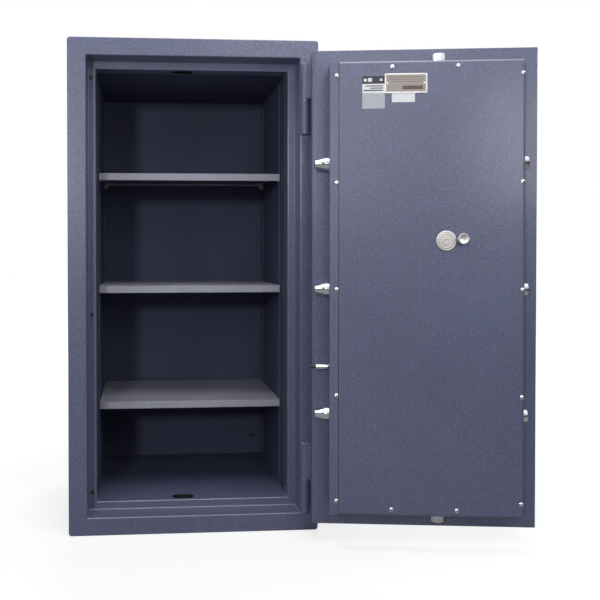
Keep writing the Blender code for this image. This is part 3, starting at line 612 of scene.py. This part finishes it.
def build_handle():
    """Smooth three-spoke handle with ball grips."""
    x, z = HANDLE_AT
    hub = [(0, 0.0338), (0.0034, 0.0340), (0.0042, 0.0334), (0.0064, 0.0290), (0.0080, 0.0262),
           (0.0110, 0.0236), (0.0180, 0.0216), (0.0300, 0.0210), (0.0470, 0.0210), (0.0500, 0.0204),
           (0.0530, 0.0186), (0.0556, 0.0150), (0.0572, 0.0104), (0.0580, 0.0040)]
    ball_at, ball_radius, spokes = 0.0967, 0.0128, 3
    grip = [(0.0, 0.0082), (0.012, 0.0080), (0.070, 0.0067), (0.082, 0.0064), (0.0845, 0.0072)]
    for i in range(11):
        a = math.radians(-58 + 14.5 * i)
        grip.append((ball_at + ball_radius * math.sin(a), max(ball_radius * math.cos(a), 0.0012)))
    bm = bmesh.new()
    add_turned(bm, (x, -0.0006, z), (0, -1, 0), hub)
    for i in range(spokes):
        a = math.radians(90 + 360 / spokes * i)
        out = Vector((math.cos(a), 0, math.sin(a)))
        add_turned(bm, Vector((x, -0.040, z)) + out * 0.006, out, grip, 32)
    handle = finish_mesh("handle_three_spoke", bm, "chrome", "handle", True, 40.0)
    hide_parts("spoke_handle")


def on_dial(part_turn, depth, radius, lean):
    """Lays a mark on the dial's sloping face, upright when it comes to the top."""
    x, z = LOCK_AT
    return (Matrix.Translation((x, DIAL_FACE - depth, z)) @ Matrix.Rotation(2 * math.pi * part_turn, 4, "Y")
            @ Matrix.Translation((0, 0, radius)) @ Matrix.Rotation(lean, 4, "X"))


def add_mesh(bm, part):
    """Adds one bmesh to another, and frees it."""
    mesh = bpy.data.meshes.new("part")
    part.to_mesh(mesh)
    part.free()
    bm.from_mesh(mesh)
    bpy.data.meshes.remove(mesh)


def build_dial():
    """Black dial with a hundred graduations, ten numerals and a knurled grip."""
    x, z = LOCK_AT
    body = [(0, 0.0380), (0.0080, 0.0384), (0.0094, 0.0380), (0.0098, 0.0372), (0.0150, 0.0292),
            (0.0156, 0.0272), (0.0160, 0.0215), (0.0168, 0.0198), (0.0185, 0.0190), (0.0200, 0.0188),
            (0.0400, 0.0182), (0.0425, 0.0172), (0.0440, 0.0150), (0.0450, 0.0120), (0.0448, 0.0100),
            (0.0440, 0.0090), (0.0438, 0.0020)]
    dial = turned("dial_knurled", (x, DIAL_FACE, z), (0, -1, 0), body, "black", "dial", segments=144,
                  knurl=(9, 10, 48, 0.0007))
    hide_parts("dial")
    ticks = bmesh.new()
    for i in range(100):
        length, width = 0.0021, 0.00026
        if i % 10 == 0:
            length, width = 0.0040, 0.00042
        elif i % 5 == 0:
            length = 0.0031
        bar = bmesh.new()
        add_box(bar, (-width / 2, width / 2), (-0.00012, 0.00012), (-length, 0.0))
        bar.transform(on_dial(i / 100, 0.0102, 0.0368, -DIAL_SLOPE))
        add_mesh(ticks, bar)
    finish_mesh("dial_graduations", ticks, "white_print", "dial", True)
    for i in range(10):
        curve = bpy.data.curves.new(f"numeral_{i}", "FONT")
        curve.body = str(10 * i)
        curve.size = 0.0056
        curve.align_x, curve.align_y = "CENTER", "CENTER"
        curve.extrude = 0.00012
        text = bpy.data.objects.new(f"numeral_{i}", curve)
        bpy.context.collection.objects.link(text)
        bpy.context.view_layer.update()
        mesh = bpy.data.meshes.new_from_object(text)
        bpy.data.objects.remove(text, do_unlink=True)
        bm = bmesh.new()
        bm.from_mesh(mesh)
        bm.transform(on_dial(i / 10, 0.01358, 0.0316, math.radians(90) - DIAL_SLOPE))
        finish_mesh(f"dial_numeral_{10 * i:02d}", bm, "white_print", "dial", True)


def build_ring():
    """Index mark at the top of the ring round the dial."""
    x, z = LOCK_AT
    bm = bmesh.new()
    add_box(bm, (x - 0.0005, x + 0.0005), (-0.0168, -0.0150), (z + 0.0405, z + 0.0455), 0.0001, 1)
    finish_mesh("dial_index_mark", bm, "black_print", "door", True)


def build_hinge_leaves():
    """Webs that tie the upper knuckles to the edge of the door.

    Inside the knuckle each web still runs into the hinge pin, an open fault.
    """
    for where, low, high in (("top", 1.5075, 1.6285), ("bottom", 0.1890, 0.3135)):
        bm = bmesh.new()
        add_box(bm, (0.3660, 0.3835), (-0.0235, -0.0008), (low, high), 0.0012)
        add_box(bm, (0.3668, 0.3698), (-0.0020, 0.0130), (low, high), 0.0008)
        finish_mesh(f"hinge_leaf_{where}", bm, "paint", "door", True)


def build_standards():
    """Slotted strips that the shelf clips hang on."""
    pitch, slot_h, slot_w, end_margin = 0.0254, 0.0135, 0.0070, 0.010
    for side in ("left", "right"):
        for end in ("front", "rear"):
            node = f"standard_{side}_{end}"
            low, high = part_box(node)
            middle = (low.y + high.y) / 2
            ys = (low.y, middle - slot_w / 2, middle + slot_w / 2, high.y)
            zs, z = [low.z], low.z + end_margin
            while z + slot_h < high.z - 0.005:
                zs += [z, z + slot_h]
                z += pitch
            zs.append(high.z)
            bm = bmesh.new()
            for i in range(3):
                for j in range(len(zs) - 1):
                    is_slot = i == 1 and j % 2 == 1
                    if not is_slot:
                        add_box(bm, (low.x, high.x), (ys[i], ys[i + 1]), (zs[j], zs[j + 1]))
            mesh = bpy.data.meshes.new(node + "_slotted")
            bm.to_mesh(mesh)
            bm.free()
            mesh.materials.append(M["standard"])
            obj = bpy.data.objects.new(node + "_slotted", mesh)
            bpy.context.collection.objects.link(obj)
            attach(obj, "case")
            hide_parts(node)


build_bolts()
build_updown()
build_plunger()
build_screws()
build_labels()
build_key_cover()
build_ledge_plugs()
build_standards()
build_handle()
build_dial()
build_ring()
build_hinge_leaves()


# ------------------------------------------------------------------ floor, light, camera
def build_stage():
    """White sweep: it shows white to the eye while bouncing only a little light back up."""
    bpy.ops.mesh.primitive_circle_add(vertices=96, radius=9.0, fill_type="NGON", location=(0, 0, -0.001))
    floor = bpy.context.object
    floor.name = "studio_floor"
    n = Nodes("studio_floor")
    cloud = n.noise(0.7, 3.0)
    tone = n.mix(n.ramp(cloud, 0.3, 0.7), (0.44, 0.44, 0.44), (0.47, 0.47, 0.47))
    n.link(tone, n.shader.inputs["Base Color"])
    n.set(Roughness=0.9, Emission_Color=(1.0, 1.0, 1.0, 1.0))
    distance = n.add("ShaderNodeVectorMath", operation="LENGTH")
    n.link(n.coords.outputs["Object"], distance.inputs[0])
    eye = n.add("ShaderNodeLightPath").outputs["Is Camera Ray"]
    glow = n.ramp(distance.outputs["Value"], 0.8, 3.2, 0.70, 1.0)
    n.link(n.maths("MULTIPLY", eye, glow), n.shader.inputs["Emission Strength"])
    floor.data.materials.append(n.mat)

    world = bpy.data.worlds.new("studio")
    bpy.context.scene.world = world
    world.use_nodes = True
    tree = world.node_tree
    seen, lit = tree.nodes["Background"], tree.nodes.new("ShaderNodeBackground")
    seen.inputs["Color"].default_value = (1.0, 1.0, 1.0, 1.0)
    lit.inputs["Color"].default_value = (0.92, 0.95, 1.0, 1.0)
    path, mix = tree.nodes.new("ShaderNodeLightPath"), tree.nodes.new("ShaderNodeMixShader")
    tree.links.new(path.outputs["Is Camera Ray"], mix.inputs["Fac"])
    tree.links.new(lit.outputs[0], mix.inputs[1])
    tree.links.new(seen.outputs[0], mix.inputs[2])
    tree.links.new(mix.outputs[0], tree.nodes["World Output"].inputs["Surface"])
    # plated metal mirrors a pale room that is brighter overhead
    way, split = tree.nodes.new("ShaderNodeTexCoord"), tree.nodes.new("ShaderNodeSeparateXYZ")
    height, level = tree.nodes.new("ShaderNodeMapRange"), tree.nodes.new("ShaderNodeMath")
    tree.links.new(way.outputs["Generated"], split.inputs[0])
    tree.links.new(split.outputs["Z"], height.inputs["Value"])
    set_range(height, 0.05, 0.85, 0.07, 1.5)
    level.operation = "MULTIPLY_ADD"
    tree.links.new(height.outputs["Result"], level.inputs[0])
    tree.links.new(path.outputs["Is Glossy Ray"], level.inputs[1])
    level.inputs[2].default_value = AMBIENT
    tree.links.new(level.outputs[0], lit.inputs["Strength"])


def area_light(name, at, aim, size, power):
    """White rectangular light at one point, aimed at another."""
    data = bpy.data.lights.new(name, "AREA")
    data.shape = "RECTANGLE"
    data.size, data.size_y = size
    data.energy = power
    lamp = bpy.data.objects.new(name, data)
    bpy.context.collection.objects.link(lamp)
    lamp.location = at
    lamp.rotation_euler = (Vector(aim) - Vector(at)).to_track_quat("-Z", "Y").to_euler()


def build_camera():
    """Camera that was solved from straight edges in the photograph."""
    data = bpy.data.cameras.new("view")
    camera = bpy.data.objects.new("view", data)
    bpy.context.collection.objects.link(camera)
    data.sensor_width, data.lens = 36.0, 44.0
    data.shift_x, data.shift_y = 0.1767, -0.0668
    yaw, pitch, roll = math.radians(3.948), math.radians(-0.877), math.radians(-0.083)
    camera.location = (-0.1761, CASE_Y - 2.5337, 0.9909)
    camera.rotation_euler = (Matrix.Rotation(-yaw, 3, "Z") @ Matrix.Rotation(math.radians(90) + pitch, 3, "X")
                             @ Matrix.Rotation(roll, 3, "Z")).to_euler()
    bpy.context.scene.camera = camera


AMBIENT = 0.008             # strength of the room's light on everything but plated metal
MIDDLE = (0.2, -0.4, 0.9)   # middle of the open safe
build_stage()
area_light("overhead", (0.0, -1.05, 3.0), (0.2, -0.5, 0.9), (2.4, 0.8), 25.0)
area_light("low_left", (-1.4, -4.5, 1.75), MIDDLE, (0.35, 0.35), 40.0)
area_light("key", (0.8, -3.4, 2.7), MIDDLE, (1.0, 1.0), 11.0)
area_light("near_right", (1.4, -1.9, 1.5), (0.2, -0.4, 1.1), (0.6, 0.6), 5.2)
area_light("near_left", (-1.7, -1.9, 1.6), (-0.1, -0.4, 1.1), (0.8, 0.8), 7.0)
area_light("fill_right", (0.4, -2.8, 1.5), (0.1, -0.4, 1.1), (0.7, 0.7), 3.0)
area_light("back", (0.6, 4.6, 3.0), (0.2, 0.3, 0.8), (3.0, 2.0), 150.0)
build_camera()
bpy.context.scene.view_settings.view_transform = "Standard"
